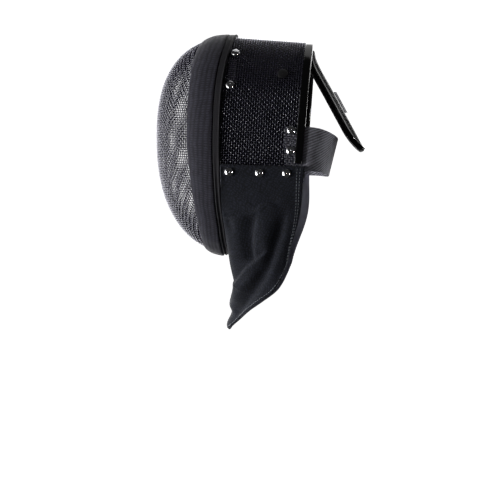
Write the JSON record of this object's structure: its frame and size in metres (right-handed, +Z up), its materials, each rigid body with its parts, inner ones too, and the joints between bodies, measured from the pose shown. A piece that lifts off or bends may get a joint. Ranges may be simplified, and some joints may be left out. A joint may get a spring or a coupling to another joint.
{
  "type": "fencing mask",
  "caption": "Fencing mask as worn: bulging woven-wire face, wire side wall, padded band, rear rim with a sprung tongue, elastic head strap and a folded cloth bib.",
  "frame": {"origin": "where the crown of the head meets the padding, in the plane of symmetry", "axes": "+Z up, -Y forwards out of the face, +X towards the wearer's left"},
  "size_m": [0.2128, 0.2747, 0.3851],
  "materials": {
    "painted_wire": "woven wire, black satin coating",
    "band_cloth": "matt ribbed cloth over padding",
    "binding_tape": "matt woven tape",
    "gloss_plastic": "glossy black",
    "grey_patch": "matt light grey",
    "bib_cloth": "matt closely woven cloth",
    "elastic": "matt ribbed elastic",
    "padding": "matt brushed cloth over foam",
    "tab_cloth": "matt tape",
    "chrome": "polished",
    "black_stud": "satin black"
  },
  "bodies": {
    "root": {"front_mesh": "painted_wire", "side_mesh": "painted_wire", "padded_band": "band_cloth", "band_binding": "binding_tape", "rim_strip": "gloss_plastic", "tongue": "gloss_plastic", "tongue_lining": "padding", "tongue_patch": "grey_patch", "elastic_strap": "elastic", "bib": "bib_cloth", "inner_padding": "padding", "padding_tab_left": "tab_cloth", "padding_tab_right": "tab_cloth", "rivet_bib_front_left": "chrome", "rivet_bib_front_right": "chrome", "rivet_bib_middle_left": "chrome", "rivet_bib_middle_right": "chrome", "rivet_bib_rear_left": "chrome", "rivet_bib_rear_right": "chrome", "rivet_strap_upper_left": "chrome", "rivet_strap_upper_right": "chrome", "rivet_strap_lower_left": "chrome", "rivet_strap_lower_right": "chrome", "rivet_front_upper_left": "chrome", "rivet_front_upper_right": "chrome", "rivet_front_lower_left": "chrome", "rivet_front_lower_right": "chrome", "black_stud_left": "black_stud", "black_stud_right": "black_stud"}
  },
  "joints": []
}
